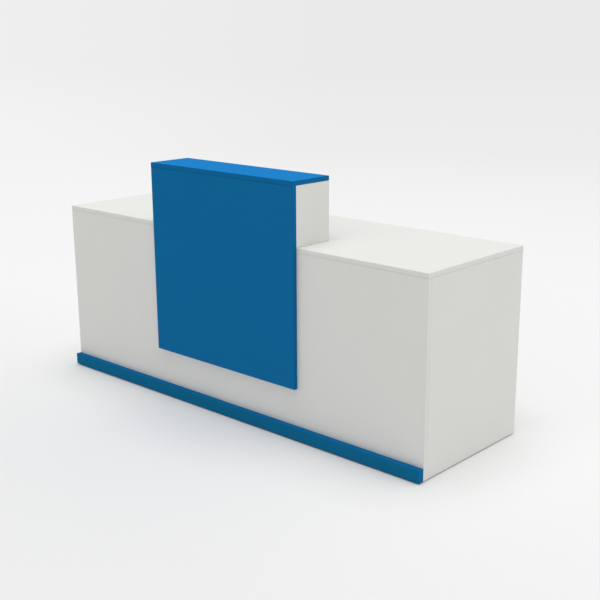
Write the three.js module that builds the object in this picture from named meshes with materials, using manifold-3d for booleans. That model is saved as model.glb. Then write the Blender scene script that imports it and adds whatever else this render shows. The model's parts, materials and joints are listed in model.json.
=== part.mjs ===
// Reception desk of laminated boards: a white carcass with a blue plinth board and a raised blue
// visitor counter, held together by cam fittings and standing on levelling feet.
// Millimetres, +Z up. Visitors stand at -Y and staff sit at +Y. The origin is on the floor, in the
// middle of the footprint, and left and right are as a visitor sees them.

import * as THREE from "three";
import { mergeVertices } from "three/addons/utils/BufferGeometryUtils.js";
import Module from "manifold-3d";

// Driving dimensions of the boards and the carcass.
const BOARD = 18; // thickness of every laminated board
const EDGE_RADIUS = 1; // eased arris of the edge banding
const SEAM = 0.3; // clearance between pieces that bear on each other
const DESK_LENGTH = 2000;
const DESK_DEPTH = 600; // front panel's face to the worktop's rear edge
const WORKTOP_HEIGHT = 755; // floor to the worktop's upper face
const FLOOR_GAP = 5; // floor to the lower edges of the upright boards
const SUPPORT_DEPTH = 480; // front-to-back size of the two inner support panels
const PLINTH_HEIGHT = 48;
const PLINTH_THICKNESS = 25;

// Driving dimensions of the raised visitor counter.
const COUNTER_WIDTH = 800;
const COUNTER_DEPTH = 200; // shelf's front edge to its rear edge
const COUNTER_RISE = 250; // worktop's upper face to the shelf's upper face
const COUNTER_PANEL_BOTTOM = 205; // floor to the lower edge of the blue front panel

// Driving dimensions of the cam fittings.
const CAM_RADIUS = 7.2;
const CAM_REACH = 24; // joint to the cam's axis
const CAM_PAST_BOLT = 4; // depth of the cam beyond the bolt's axis
const CAM_CHAMBER_RADIUS = 3.6; // hollow in the cam that holds the bolt's head
const CAM_DRIVE_LENGTH = 9; // cross recess in the cam's face
const CAM_DRIVE_WIDTH = 1.6;
const CAM_DRIVE_DEPTH = 2.5;
const CAM_TURN = 140; // degrees from the locked cam to the open one
const CAM_LEAD = 40; // degrees that the cam's slot runs past the locked bolt
const BOLT_HEAD_RADIUS = 2.9;
const BOLT_HEAD_LENGTH = 3.2;
const BOLT_NECK_RADIUS = 1.8;
const BOLT_SHANK_RADIUS = 3.7;
const BOLT_SHOULDER = 3; // cam's rim to the start of the bolt's shank
const BOLT_THREAD_RADIUS = 2.9;
const BOLT_THREAD_LENGTH = 11;
const BOLT_CHAMFER = 0.8;
const TOP_CAM_INSET = 90; // cams under the worktop, from the ends of the upright's top edge
const FRONT_CAM_INSET = 150; // cams at the front panel, from the ends of the upright's front edge

// Driving dimensions of the levelling feet.
const FOOT_OFFSET = 22; // board's face to the stem's axis
const FOOT_FRONT_INSET = 32; // front edge of the board to the stem's axis
const FOOT_REAR_INSET = 60; // rear edge of the board to the stem's axis
const PAD_RADIUS = 16;
const PAD_HEIGHT = 9;
const PAD_CHAMFER = 2;
const PAD_CROWN_RADIUS = 9;
const PAD_CROWN_DROP = 3; // fall of the pad's upper face from its crown to its rim
const PAD_FLOOR = 4; // pad's underside to the floor of its socket
const STEM_RADIUS = 4;
const STEM_LENGTH = 46;
const STEM_CHAMFER = 0.8;
const STEM_SLOT_WIDTH = 1.6;
const STEM_SLOT_DEPTH = 2.5;
const NUT_ACROSS_FLATS = 13;
const NUT_HEIGHT = 5;
const BRACKET_THICKNESS = 3;
const BRACKET_WIDTH = 40;
const BRACKET_HEIGHT = 46;
const BRACKET_CORNER = 6;
const BRACKET_SCREW_RADIUS = 2.4;
const BRACKET_SCREW_SPACING = 22;
const BRACKET_SCREW_RISE = 32; // bracket's underside to its screw holes
const BUSH_RADIUS = 8; // threaded bush on the bracket
const BUSH_HEIGHT = 9;

// Driving dimensions of the cable grommets.
const GROMMET_SPACING = 500;
const GROMMET_SETBACK = 110; // front panel's face to the grommet's axis
const GROMMET_RADIUS = 29.7; // neck that drops into the worktop
const GROMMET_FLANGE_WIDTH = 6;
const GROMMET_FLANGE_HEIGHT = 3;
const GROMMET_WALL = 2.2;
const GROMMET_NECK_DEPTH = 16;
const GROMMET_LIP = 3.5; // width of the flange's rim outside the cap
const GROMMET_CHAMFER = 1;
const CAP_THICKNESS = 1.6;
const CAP_SKIRT_WALL = 1.8;
const CAP_SKIRT_DEPTH = 8;
const CABLE_SLOT_WIDTH = 20;
const CABLE_SLOT_END = 8; // cap's centre to the inner end of its cable slot

// Facets of the round forms.
const EDGE_STEPS = 2;
const BORE_SIDES = 12;
const CAM_SIDES = 16;
const CAM_BORE_SIDES = 32;
const BOLT_SIDES = 8;
const PAD_SIDES = 16;
const STEM_SIDES = 12;
const GROMMET_SIDES = 28;
const ARC_STEPS = 4;
const OVERCUT = 1; // cutting bodies run past the surface that they open

// Places that follow from the sizes above.
const SHELL = PLINTH_THICKNESS + SEAM;
const FRONT_Y = (SHELL - DESK_DEPTH) / 2;
const REAR_Y = FRONT_Y + DESK_DEPTH;
const CARCASS_Y = FRONT_Y + BOARD + SEAM;
const END_X = DESK_LENGTH / 2;
const COUNTER_X = COUNTER_WIDTH / 2;
const WORKTOP_UNDERSIDE = WORKTOP_HEIGHT - BOARD;
const UPRIGHT_TOP = WORKTOP_UNDERSIDE - SEAM;
const COUNTER_TOP = WORKTOP_HEIGHT + COUNTER_RISE;
const COUNTER_UNDERSIDE = COUNTER_TOP - BOARD;
const COUNTER_FRONT_Y = FRONT_Y - SEAM - BOARD;
const COUNTER_REAR_Y = COUNTER_FRONT_Y + COUNTER_DEPTH;
const SUPPORT_REAR_Y = CARCASS_Y + SUPPORT_DEPTH;
const GROMMET_HOLE_RADIUS = GROMMET_RADIUS + SEAM;
const NUT_BOTTOM = PAD_HEIGHT + SEAM;
const BRACKET_BOTTOM = NUT_BOTTOM + NUT_HEIGHT + SEAM;

const AXIS = {
  x: new THREE.Vector3(1, 0, 0),
  y: new THREE.Vector3(0, 1, 0),
  z: new THREE.Vector3(0, 0, 1),
};

const SIDES = [
  { label: "left", sign: -1 },
  { label: "right", sign: 1 },
];

const wasm = await Module();
wasm.setup();

// Materials

function finish(color, roughness, metalness) {
  return new THREE.MeshStandardMaterial({ color, roughness, metalness, flatShading: true });
}

const whiteLaminate = () => finish(0xe6e6e1, 0.45, 0);
const blueLaminate = () => finish(0x116fa8, 0.4, 0);
const zincSteel = () => finish(0xb4b7ba, 0.35, 1);
const dieCastZinc = () => finish(0x9a9da0, 0.5, 1);
const blackNylon = () => finish(0x202224, 0.6, 0);
const greyPlastic = () => finish(0xb9bab8, 0.5, 0);

// Solids

function solidOf(geometry) {
  const bare = geometry.clone();
  bare.deleteAttribute("normal");
  bare.deleteAttribute("uv");
  const merged = mergeVertices(bare);
  return new wasm.Manifold(
    new wasm.Mesh({
      numProp: 3,
      vertProperties: new Float32Array(merged.attributes.position.array),
      triVerts: new Uint32Array(merged.index.array),
    }),
  );
}

function geometryOf(solid) {
  const mesh = solid.getMesh();
  const geometry = new THREE.BufferGeometry();
  geometry.setAttribute("position", new THREE.BufferAttribute(mesh.vertProperties, mesh.numProp));
  geometry.setIndex(new THREE.BufferAttribute(mesh.triVerts, 1));
  geometry.computeVertexNormals();
  return geometry;
}

function cut(geometry, cutters) {
  const bodies = cutters.map(solidOf);
  return geometryOf(bodies.reduce((rest, body) => rest.subtract(body), solidOf(geometry)));
}

function join(geometries) {
  const bodies = geometries.map(solidOf);
  return geometryOf(bodies.reduce((whole, body) => whole.add(body)));
}

// A round bar along +Z, from `bottom` to `top`.
function bar(radius, bottom, top, sides) {
  const geometry = new THREE.CylinderGeometry(radius, radius, top - bottom, sides);
  geometry.rotateX(Math.PI / 2);
  geometry.translate(0, 0, (bottom + top) / 2);
  return geometry;
}

// A form turned about Z, from [radius, height] points.
function turned(profile, sides) {
  const points = profile.map(([radius, height]) => new THREE.Vector2(radius, height));
  const geometry = new THREE.LatheGeometry(points, sides);
  geometry.rotateX(Math.PI / 2);
  return geometry;
}

// An outline in X and Y, raised from `bottom` to `top`.
function prism(outline, bottom, top) {
  const geometry = new THREE.ExtrudeGeometry(outline, {
    depth: top - bottom,
    bevelEnabled: false,
    curveSegments: ARC_STEPS,
  });
  geometry.translate(0, 0, bottom);
  return geometry;
}

// The matrix that takes +Z to `along` and +X to `side`, and the origin to `origin`.
function frameAt(origin, along, side) {
  const across = new THREE.Vector3().crossVectors(along, side);
  return new THREE.Matrix4().makeBasis(side, across, along).setPosition(origin);
}

function meshNamed(name, geometry, material) {
  const mesh = new THREE.Mesh(geometry, material);
  mesh.name = name;
  return mesh;
}

// Boards

// A board between two corners, with the long edges eased. `normal` is the axis of its thickness.
function boardGeometry(size, normal) {
  const [across, up] = { x: ["y", "z"], y: ["z", "x"], z: ["x", "y"] }[normal];
  const half = new THREE.Vector2(size[across] / 2, size[up] / 2);
  const outline = new THREE.Shape([
    new THREE.Vector2(-half.x, -half.y),
    new THREE.Vector2(half.x, -half.y),
    new THREE.Vector2(half.x, half.y),
    new THREE.Vector2(-half.x, half.y),
  ]);
  const geometry = new THREE.ExtrudeGeometry(outline, {
    depth: size[normal] - 2 * EDGE_RADIUS,
    bevelThickness: EDGE_RADIUS,
    bevelSize: EDGE_RADIUS,
    bevelOffset: -EDGE_RADIUS,
    bevelSegments: EDGE_STEPS,
  });
  geometry.center();
  return geometry.applyMatrix4(
    new THREE.Matrix4().makeBasis(AXIS[across], AXIS[up], AXIS[normal]),
  );
}

const boards = new Map();

function addBoard(name, normal, material, low, high) {
  const box = new THREE.Box3(new THREE.Vector3(...low), new THREE.Vector3(...high));
  boards.set(name, { normal, material, box, cutters: [] });
}

// A board that lies on one side of the desk, between two distances from the middle.
function addSideBoard(side, name, material, [inner, outer], [front, rear], [bottom, top]) {
  const [lowX, highX] = [side.sign * inner, side.sign * outer].sort((a, b) => a - b);
  addBoard(`${side.label}_${name}`, "x", material, [lowX, front, bottom], [highX, rear, top]);
}

function buildBoard(name, { normal, material, box, cutters }) {
  const centre = box.getCenter(new THREE.Vector3());
  const plain = boardGeometry(box.getSize(new THREE.Vector3()), normal);
  const tools = cutters.map((tool) => tool.clone().translate(-centre.x, -centre.y, -centre.z));
  const mesh = meshNamed(name, tools.length ? cut(plain, tools) : plain, material());
  mesh.position.copy(centre);
  return mesh;
}

addBoard(
  "worktop",
  "z",
  whiteLaminate,
  [-END_X, FRONT_Y, WORKTOP_UNDERSIDE],
  [END_X, REAR_Y, WORKTOP_HEIGHT],
);
addBoard(
  "front_panel",
  "y",
  whiteLaminate,
  [-END_X, FRONT_Y, FLOOR_GAP],
  [END_X, FRONT_Y + BOARD, UPRIGHT_TOP],
);
addBoard(
  "plinth_board",
  "y",
  blueLaminate,
  [-END_X, FRONT_Y - SHELL, FLOOR_GAP],
  [END_X, FRONT_Y - SEAM, FLOOR_GAP + PLINTH_HEIGHT],
);
addBoard(
  "counter_front_panel",
  "y",
  blueLaminate,
  [-COUNTER_X, COUNTER_FRONT_Y, COUNTER_PANEL_BOTTOM],
  [COUNTER_X, FRONT_Y - SEAM, COUNTER_UNDERSIDE - SEAM],
);
addBoard(
  "counter_shelf",
  "z",
  blueLaminate,
  [-COUNTER_X, COUNTER_FRONT_Y, COUNTER_UNDERSIDE],
  [COUNTER_X, COUNTER_REAR_Y, COUNTER_TOP],
);
for (const side of SIDES) {
  addSideBoard(
    side,
    "end_panel",
    whiteLaminate,
    [END_X - BOARD, END_X],
    [CARCASS_Y, REAR_Y],
    [FLOOR_GAP, UPRIGHT_TOP],
  );
  addSideBoard(
    side,
    "support_panel",
    whiteLaminate,
    [COUNTER_X - BOARD, COUNTER_X],
    [CARCASS_Y, SUPPORT_REAR_Y],
    [FLOOR_GAP, UPRIGHT_TOP],
  );
  addSideBoard(
    side,
    "counter_cheek",
    whiteLaminate,
    [COUNTER_X - BOARD, COUNTER_X],
    [FRONT_Y, COUNTER_REAR_Y],
    [WORKTOP_HEIGHT + SEAM, COUNTER_UNDERSIDE - SEAM],
  );
}

// Cam fittings. In a fitting's own frame the bolt runs along +Z through the joint at z = 0, and the
// cam turns about X, sunk into the board's face on the +X side.

const CAM_FACE = BOARD / 2;
const CAM_OUTER = CAM_FACE - SEAM;
const CAM_INNER = -CAM_PAST_BOLT;
const CAM_RIM = CAM_RADIUS - CAM_REACH;
const BOLT_TIP = SEAM + BOLT_THREAD_LENGTH;

// The slot that the bolt's neck runs in as the cam turns, and the hole at its end that lets the
// bolt's head in. Angles are counted from the locked bolt.
function camTrack(neckRoom, headRoom) {
  const outside = CAM_RADIUS + OVERCUT;
  const start = THREE.MathUtils.degToRad(-CAM_LEAD);
  const end = THREE.MathUtils.degToRad(CAM_TURN);
  const outline = new THREE.Shape();
  outline.moveTo(0, 0);
  outline.lineTo(outside * Math.cos(start), outside * Math.sin(start));
  outline.absarc(0, 0, outside, start, end, false);
  outline.closePath();
  const entry = bar(headRoom, 0, outside, BORE_SIDES).rotateY(Math.PI / 2).rotateZ(end);
  return [prism(outline, -neckRoom, neckRoom), entry];
}

function camGeometry() {
  const headRoom = BOLT_HEAD_RADIUS + SEAM;
  const neckRoom = BOLT_NECK_RADIUS + SEAM;
  const driveDepth = CAM_DRIVE_DEPTH + OVERCUT;
  const driveCentre = CAM_OUTER - CAM_DRIVE_DEPTH + driveDepth / 2;
  const drives = [
    new THREE.BoxGeometry(CAM_DRIVE_LENGTH, CAM_DRIVE_WIDTH, driveDepth),
    new THREE.BoxGeometry(CAM_DRIVE_WIDTH, CAM_DRIVE_LENGTH, driveDepth),
  ].map((drive) => drive.translate(0, 0, driveCentre));
  const geometry = cut(bar(CAM_RADIUS, CAM_INNER, CAM_OUTER, CAM_SIDES), [
    bar(CAM_CHAMBER_RADIUS, -headRoom, headRoom, BORE_SIDES),
    ...camTrack(neckRoom, headRoom),
    ...drives,
  ]);
  const turn = frameAt(new THREE.Vector3(0, 0, -CAM_REACH), AXIS.x, AXIS.z);
  return geometry.applyMatrix4(turn);
}

function boltGeometry() {
  const headEnd = -CAM_REACH - BOLT_HEAD_LENGTH / 2;
  const neckStart = headEnd + BOLT_HEAD_LENGTH;
  const shankStart = CAM_RIM + BOLT_SHOULDER;
  return turned(
    [
      [0, headEnd],
      [BOLT_HEAD_RADIUS - BOLT_CHAMFER, headEnd],
      [BOLT_HEAD_RADIUS, headEnd + BOLT_CHAMFER],
      [BOLT_HEAD_RADIUS, neckStart - BOLT_CHAMFER],
      [BOLT_NECK_RADIUS, neckStart],
      [BOLT_NECK_RADIUS, shankStart],
      [BOLT_SHANK_RADIUS, shankStart + BOLT_CHAMFER],
      [BOLT_SHANK_RADIUS, 0],
      [BOLT_THREAD_RADIUS, 0],
      [BOLT_THREAD_RADIUS, BOLT_TIP - BOLT_CHAMFER],
      [BOLT_THREAD_RADIUS - BOLT_CHAMFER, BOLT_TIP],
      [0, BOLT_TIP],
    ],
    BOLT_SIDES,
  );
}

function camBore() {
  const bore = bar(CAM_RADIUS + SEAM, CAM_INNER - SEAM, CAM_FACE + OVERCUT, CAM_BORE_SIDES);
  return bore.applyMatrix4(frameAt(new THREE.Vector3(0, 0, -CAM_REACH), AXIS.x, AXIS.z));
}

function shankBore() {
  return bar(BOLT_SHANK_RADIUS + SEAM, -CAM_REACH, OVERCUT, BORE_SIDES);
}

function threadBore() {
  return bar(BOLT_THREAD_RADIUS + SEAM, -OVERCUT, BOLT_TIP + SEAM, BORE_SIDES);
}

const fittings = new THREE.Group();

// `joint` is where the bolt crosses from `camBoard` to `boltBoard`, `along` the way it points and
// `face` the way the cam's face looks.
function addFitting(place, { joint, along, face, camBoard, boltBoard }) {
  const matrix = frameAt(joint, along, face);
  const fitting = new THREE.Group();
  fitting.add(meshNamed(`cam_lock_${place}`, camGeometry(), dieCastZinc()));
  fitting.add(meshNamed(`cam_bolt_${place}`, boltGeometry(), zincSteel()));
  fitting.applyMatrix4(matrix);
  fittings.add(fitting);
  boards.get(camBoard).cutters.push(camBore().applyMatrix4(matrix), shankBore().applyMatrix4(matrix));
  boards.get(boltBoard).cutters.push(threadBore().applyMatrix4(matrix));
}

// A cam that pulls an upright board's top edge up to the worktop.
function addTopFitting(board, place, y, face) {
  const { min, max } = boards.get(board).box;
  addFitting(`${board}_${place}`, {
    joint: new THREE.Vector3((min.x + max.x) / 2, y, UPRIGHT_TOP),
    along: AXIS.z,
    face,
    camBoard: board,
    boltBoard: "worktop",
  });
}

// A cam that pulls an upright board's front edge up to the front panel.
function addFrontFitting(board, place, z, face) {
  const { min, max } = boards.get(board).box;
  addFitting(`${board}_${place}`, {
    joint: new THREE.Vector3((min.x + max.x) / 2, CARCASS_Y, z),
    along: AXIS.y.clone().negate(),
    face,
    camBoard: board,
    boltBoard: "front_panel",
  });
}

for (const { label, sign } of SIDES) {
  const inward = AXIS.x.clone().multiplyScalar(-sign);
  const outward = AXIS.x.clone().multiplyScalar(sign);
  const end = `${label}_end_panel`;
  addTopFitting(end, "top_front", CARCASS_Y + TOP_CAM_INSET, inward);
  addTopFitting(end, "top_rear", REAR_Y - TOP_CAM_INSET, inward);
  addFrontFitting(end, "front_low", FLOOR_GAP + FRONT_CAM_INSET, inward);
  addFrontFitting(end, "front_high", UPRIGHT_TOP - FRONT_CAM_INSET, inward);
  addTopFitting(`${label}_support_panel`, "top", SUPPORT_REAR_Y - TOP_CAM_INSET, outward);
}

// Levelling feet. In a foot's own frame the stem stands on Z and the board's face is at
// x = -FOOT_OFFSET.

function bracketGeometry() {
  const back = SEAM - FOOT_OFFSET;
  const half = BRACKET_WIDTH / 2;
  const shoulder = BRACKET_BOTTOM + BRACKET_HEIGHT - BRACKET_CORNER;
  const ledge = new THREE.Shape();
  ledge.moveTo(back, -half);
  ledge.lineTo(0, -half);
  ledge.absarc(0, 0, half, -Math.PI / 2, Math.PI / 2, false);
  ledge.lineTo(back, half);
  ledge.closePath();
  const plate = new THREE.Shape();
  plate.moveTo(-half, BRACKET_BOTTOM);
  plate.lineTo(half, BRACKET_BOTTOM);
  plate.lineTo(half, shoulder);
  plate.absarc(half - BRACKET_CORNER, shoulder, BRACKET_CORNER, 0, Math.PI / 2, false);
  plate.absarc(BRACKET_CORNER - half, shoulder, BRACKET_CORNER, Math.PI / 2, Math.PI, false);
  plate.closePath();
  for (const sign of [-1, 1]) {
    const hole = new THREE.Path();
    const across = (sign * BRACKET_SCREW_SPACING) / 2;
    const rise = BRACKET_BOTTOM + BRACKET_SCREW_RISE;
    hole.absarc(across, rise, BRACKET_SCREW_RADIUS, 0, 2 * Math.PI, true);
    plate.holes.push(hole);
  }
  const upright = prism(plate, back, back + BRACKET_THICKNESS);
  upright.applyMatrix4(new THREE.Matrix4().makeBasis(AXIS.y, AXIS.z, AXIS.x));
  const ledgeTop = BRACKET_BOTTOM + BRACKET_THICKNESS;
  const bushTop = ledgeTop + BUSH_HEIGHT;
  const body = join([
    prism(ledge, BRACKET_BOTTOM, ledgeTop),
    upright,
    bar(BUSH_RADIUS, BRACKET_BOTTOM, bushTop, STEM_SIDES),
  ]);
  return cut(body, [
    bar(STEM_RADIUS + SEAM, BRACKET_BOTTOM - OVERCUT, bushTop + OVERCUT, STEM_SIDES),
  ]);
}

function stemGeometry() {
  const bottom = PAD_FLOOR + SEAM;
  const top = bottom + STEM_LENGTH;
  const shaft = turned(
    [
      [0, bottom],
      [STEM_RADIUS - STEM_CHAMFER, bottom],
      [STEM_RADIUS, bottom + STEM_CHAMFER],
      [STEM_RADIUS, top - STEM_CHAMFER],
      [STEM_RADIUS - STEM_CHAMFER, top],
      [0, top],
    ],
    STEM_SIDES,
  );
  const nut = bar(NUT_ACROSS_FLATS / Math.sqrt(3), NUT_BOTTOM, NUT_BOTTOM + NUT_HEIGHT, 6);
  const slot = new THREE.BoxGeometry(
    2 * (STEM_RADIUS + OVERCUT),
    STEM_SLOT_WIDTH,
    2 * STEM_SLOT_DEPTH,
  );
  slot.translate(0, 0, top);
  return cut(join([shaft, nut]), [slot]);
}

function padGeometry() {
  const socket = STEM_RADIUS + SEAM;
  return turned(
    [
      [0, 0],
      [PAD_RADIUS - PAD_CHAMFER, 0],
      [PAD_RADIUS, PAD_CHAMFER],
      [PAD_RADIUS, PAD_HEIGHT - PAD_CROWN_DROP],
      [PAD_CROWN_RADIUS, PAD_HEIGHT],
      [socket, PAD_HEIGHT],
      [socket, PAD_FLOOR],
      [0, PAD_FLOOR],
    ],
    PAD_SIDES,
  );
}

const feet = new THREE.Group();

// A foot on a board's face: `faceX` is the face, `away` the way it looks along X.
function addFoot(place, faceX, away, y) {
  const foot = new THREE.Group();
  foot.add(meshNamed(`foot_bracket_${place}`, bracketGeometry(), zincSteel()));
  foot.add(meshNamed(`foot_stem_${place}`, stemGeometry(), zincSteel()));
  foot.add(meshNamed(`foot_pad_${place}`, padGeometry(), blackNylon()));
  foot.position.set(faceX + away * FOOT_OFFSET, y, 0);
  foot.rotation.z = away > 0 ? 0 : Math.PI;
  feet.add(foot);
}

for (const { label, sign } of SIDES) {
  const endFace = sign * (END_X - BOARD);
  const supportFace = sign * COUNTER_X;
  const frontY = CARCASS_Y + FOOT_FRONT_INSET;
  addFoot(`${label}_end_front`, endFace, -sign, frontY);
  addFoot(`${label}_end_rear`, endFace, -sign, REAR_Y - FOOT_REAR_INSET);
  addFoot(`${label}_support_front`, supportFace, sign, frontY);
  addFoot(`${label}_support_rear`, supportFace, sign, SUPPORT_REAR_Y - FOOT_REAR_INSET);
}

// Cable grommets, each standing on the worktop at z = 0 of its own frame.

const FLANGE_RADIUS = GROMMET_RADIUS + GROMMET_FLANGE_WIDTH;
const FLANGE_TOP = SEAM + GROMMET_FLANGE_HEIGHT;
const SEAT_RADIUS = FLANGE_RADIUS - GROMMET_LIP;
const CAP_BOTTOM = FLANGE_TOP - CAP_THICKNESS;
const SEAT_TOP = CAP_BOTTOM - SEAM;
const NECK_INSIDE = GROMMET_RADIUS - GROMMET_WALL;

function ringGeometry() {
  return turned(
    [
      [GROMMET_RADIUS, -GROMMET_NECK_DEPTH],
      [GROMMET_RADIUS, SEAM],
      [FLANGE_RADIUS, SEAM],
      [FLANGE_RADIUS, FLANGE_TOP - GROMMET_CHAMFER],
      [FLANGE_RADIUS - GROMMET_CHAMFER, FLANGE_TOP],
      [SEAT_RADIUS, FLANGE_TOP],
      [SEAT_RADIUS, SEAT_TOP],
      [NECK_INSIDE, SEAT_TOP],
      [NECK_INSIDE, -GROMMET_NECK_DEPTH],
      [GROMMET_RADIUS, -GROMMET_NECK_DEPTH],
    ],
    GROMMET_SIDES,
  );
}

function capGeometry() {
  const skirtOutside = NECK_INSIDE - SEAM;
  const skirtInside = skirtOutside - CAP_SKIRT_WALL;
  const skirtBottom = CAP_BOTTOM - CAP_SKIRT_DEPTH;
  const rim = SEAT_RADIUS - SEAM;
  const half = CABLE_SLOT_WIDTH / 2;
  const disc = turned(
    [
      [0, CAP_BOTTOM],
      [skirtInside, CAP_BOTTOM],
      [skirtInside, skirtBottom],
      [skirtOutside, skirtBottom],
      [skirtOutside, CAP_BOTTOM],
      [rim, CAP_BOTTOM],
      [rim, FLANGE_TOP],
      [0, FLANGE_TOP],
    ],
    GROMMET_SIDES,
  );
  const slot = new THREE.Shape();
  slot.moveTo(-half, rim + OVERCUT);
  slot.lineTo(-half, CABLE_SLOT_END + half);
  slot.absarc(0, CABLE_SLOT_END + half, half, Math.PI, 2 * Math.PI, false);
  slot.lineTo(half, rim + OVERCUT);
  slot.closePath();
  return cut(disc, [prism(slot, skirtBottom - OVERCUT, FLANGE_TOP + OVERCUT)]);
}

const grommets = new THREE.Group();

for (const { label, sign } of SIDES) {
  const grommet = new THREE.Group();
  grommet.add(meshNamed(`grommet_ring_${label}`, ringGeometry(), greyPlastic()));
  grommet.add(meshNamed(`grommet_cap_${label}`, capGeometry(), greyPlastic()));
  const centre = new THREE.Vector3((sign * GROMMET_SPACING) / 2, FRONT_Y + GROMMET_SETBACK, 0);
  grommet.position.set(centre.x, centre.y, WORKTOP_HEIGHT);
  grommets.add(grommet);
  const hole = bar(
    GROMMET_HOLE_RADIUS,
    WORKTOP_UNDERSIDE - OVERCUT,
    WORKTOP_HEIGHT + OVERCUT,
    GROMMET_SIDES,
  );
  boards.get("worktop").cutters.push(hole.translate(centre.x, centre.y, centre.z));
}

// The whole desk

const desk = new THREE.Group();
desk.name = "reception_desk";
for (const [name, board] of boards) {
  desk.add(buildBoard(name, board));
}
desk.add(fittings, feet, grommets);

export default desk;
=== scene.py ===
"""Finishes, small fittings and studio stage of a flat-pack reception desk."""
import json
import math

import bmesh
import bpy
from bpy.props import FloatProperty, FloatVectorProperty, PointerProperty
from bpy.types import Operator, Panel, PropertyGroup
from mathutils import Matrix, Vector

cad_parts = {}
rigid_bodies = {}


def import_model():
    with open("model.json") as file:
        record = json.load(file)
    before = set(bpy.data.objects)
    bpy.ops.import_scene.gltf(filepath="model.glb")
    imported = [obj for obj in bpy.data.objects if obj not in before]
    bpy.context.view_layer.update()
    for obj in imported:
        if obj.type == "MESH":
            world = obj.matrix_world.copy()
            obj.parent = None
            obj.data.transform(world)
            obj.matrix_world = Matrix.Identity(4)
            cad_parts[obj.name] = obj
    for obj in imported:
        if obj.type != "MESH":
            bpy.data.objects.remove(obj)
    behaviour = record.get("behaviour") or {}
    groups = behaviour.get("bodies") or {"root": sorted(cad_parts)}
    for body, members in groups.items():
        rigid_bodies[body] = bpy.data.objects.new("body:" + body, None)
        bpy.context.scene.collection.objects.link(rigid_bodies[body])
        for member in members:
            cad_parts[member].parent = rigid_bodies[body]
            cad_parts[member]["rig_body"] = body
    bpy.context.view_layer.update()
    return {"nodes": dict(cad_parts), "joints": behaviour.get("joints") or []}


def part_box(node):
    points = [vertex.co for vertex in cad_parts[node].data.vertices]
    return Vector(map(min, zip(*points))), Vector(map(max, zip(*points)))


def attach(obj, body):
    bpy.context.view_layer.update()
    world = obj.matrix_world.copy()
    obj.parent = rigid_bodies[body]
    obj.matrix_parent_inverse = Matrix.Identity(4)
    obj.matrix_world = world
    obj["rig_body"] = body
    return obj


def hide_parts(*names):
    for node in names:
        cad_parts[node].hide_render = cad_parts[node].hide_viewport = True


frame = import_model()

bl_info = {
    "name": "Reception desk",
    "version": (1, 0, 0),
    "blender": (4, 5, 0),
    "location": "View3D > Sidebar > Desk",
    "description": "Laminates, feet, cam locks, grommets, screws and stage of a reception desk",
    "category": "Object",
}

NODES = frame["nodes"]
MM = 0.001
FULL_TURN = 2 * math.pi
WELD = 1e-6  # vertices closer than this are one vertex
NEAR = 1e-5  # how close to a line or plane a picked vertex lies
OVERLAP = 1 * MM  # how far shapes reach into or past each other where they are joined or cut
THROUGH = 4  # a through cutter's length, in lengths of what it cuts
QUARTER = math.pi / 2
FLAT_ANGLE = math.radians(0.5)  # faces that meet flatter than this become one face
SMOOTH_ANGLE = math.radians(38)  # edges sharper than this stay sharp to the eye
ARRIS_ANGLE = math.radians(50)  # edges sharper than this get a rounded arris
SMALL_ROUND, MIDDLE_ROUND, LARGE_ROUND, FLOOR_ROUND = 32, 48, 96, 128  # sides of round shapes
HALF_STEP = math.pi / MIDDLE_ROUND  # start of a cutter whose edges miss those of what it cuts
ARRIS_STEPS, PROFILE_STEPS, CORNER_STEPS = 2, 6, 8  # faces across a rounding
UP = Vector((0, 0, 1))
REAR_RIGHT = Vector((0.65, 0.75, 0)).normalized()
# painted light: the backdrop is painted paler in directions that lean towards this side
PALE_SIDE = Vector((-0.75, -0.66, 0)).normalized()
DULL_UP_TO, PALE_FROM = 0, 0.35  # how far a direction leans to the pale side at the backdrop's two tones

BLUE_BOARDS = ("counter_front_panel", "counter_shelf", "plinth_board")
WHITE_BOARDS = (
    "worktop",
    "front_panel",
    *(f"{side}_{part}" for side in ("left", "right")
      for part in ("end_panel", "support_panel", "counter_cheek")),
)
FEET = sorted(name.removeprefix("foot_pad_") for name in NODES if name.startswith("foot_pad_"))
CAMS = sorted(name.removeprefix("cam_lock_") for name in NODES if name.startswith("cam_lock_"))
GROMMETS = ("left", "right")
PLINTH_SCREWS = 6
THREAD_STEPS = 20  # faces round one turn of a thread
SPARE_TURNS = 2.33  # turns of thread beyond each end, cut off again

# Boxes of one fitting of each kind, for the default sizes
PAD_LOW, PAD_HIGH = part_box("foot_pad_left_end_front")
STEM_LOW, STEM_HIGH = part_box("foot_stem_left_end_front")
BRACKET_LOW, BRACKET_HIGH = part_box("foot_bracket_left_end_front")
RING_LOW, RING_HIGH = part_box("grommet_ring_left")
WORKTOP_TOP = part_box("worktop")[1].z
FRONT_REAR_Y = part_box("front_panel")[1].y
STEM_AXIS = (PAD_LOW + PAD_HIGH) / 2


def linear(hex_colour):
    """An sRGB hex colour as linear red, green and blue."""
    shares = (int(hex_colour[at:at + 2], 16) / 255 for at in (0, 2, 4))
    return tuple(s / 12.92 if s <= 0.04045 else ((s + 0.055) / 1.055) ** 2.4 for s in shares)


def colour(name, description, hex_colour):
    return FloatVectorProperty(name=name, description=description, subtype="COLOR",
                               size=3, min=0, max=1, default=linear(hex_colour))


def length(name, description, metres):
    return FloatProperty(name=name, description=description, subtype="DISTANCE",
                         unit="LENGTH", default=metres)


def angle(name, description, degrees):
    return FloatProperty(name=name, description=description, subtype="ANGLE",
                         unit="ROTATION", default=math.radians(degrees))


def amount(name, description, value):
    return FloatProperty(name=name, description=description, default=value)


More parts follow.
